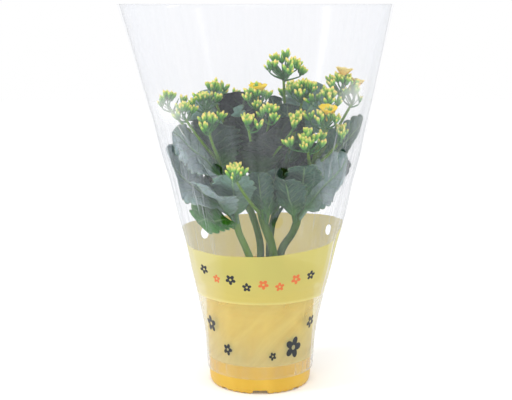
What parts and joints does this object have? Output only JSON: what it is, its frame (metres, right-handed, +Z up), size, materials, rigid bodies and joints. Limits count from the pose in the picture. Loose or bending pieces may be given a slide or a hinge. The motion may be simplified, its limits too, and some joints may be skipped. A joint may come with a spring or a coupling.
{
  "type": "potted flaming katy",
  "caption": "Flowering kalanchoe in a yellow nursery pot, standing in a clear conical film sleeve that is open at the top and holds the leaves and bud heads together.",
  "frame": {"origin": "centre of the pot's flat underside", "axes": "+Z up along the pot's axis, -Y towards the front, +X to the right as seen from the front"},
  "size_m": [0.2412, 0.2002, 0.347],
  "materials": {
    "pot_plastic": "moulded, satin",
    "soil": "moist crumbly peat",
    "clear_film": "thin clear film with a printed band",
    "leaf": "waxy fleshy leaf",
    "bud": "waxy green buds with yellow tips",
    "petal": "soft satin petal"
  },
  "bodies": {
    "root": {"pot": "pot_plastic", "potting_soil": "soil", "film_sleeve": "clear_film", "leafy_stem_left": "leaf", "leafy_stem_centre": "leaf", "leafy_stem_right": "leaf", "leafy_stem_inner": "leaf", "leafy_stem_back": "leaf", "flower_head_01": "bud", "flower_head_02": "bud", "flower_head_03": "bud", "flower_head_04": "bud", "flower_head_05": "bud", "flower_head_06": "bud", "flower_head_07": "bud", "flower_head_08": "bud", "flower_head_09": "bud", "flower_head_10": "bud", "flower_head_11": "bud", "flower_head_12": "bud", "flower_head_13": "bud", "flower_head_14": "bud", "flower_head_15": "bud", "flower_head_16": "bud", "flower_head_17": "bud", "flower_head_18": "bud", "flower_head_19": "bud", "flower_head_20": "bud", "open_flower_01": "petal", "open_flower_02": "petal", "open_flower_03": "petal", "open_flower_04": "petal"}
  },
  "joints": []
}
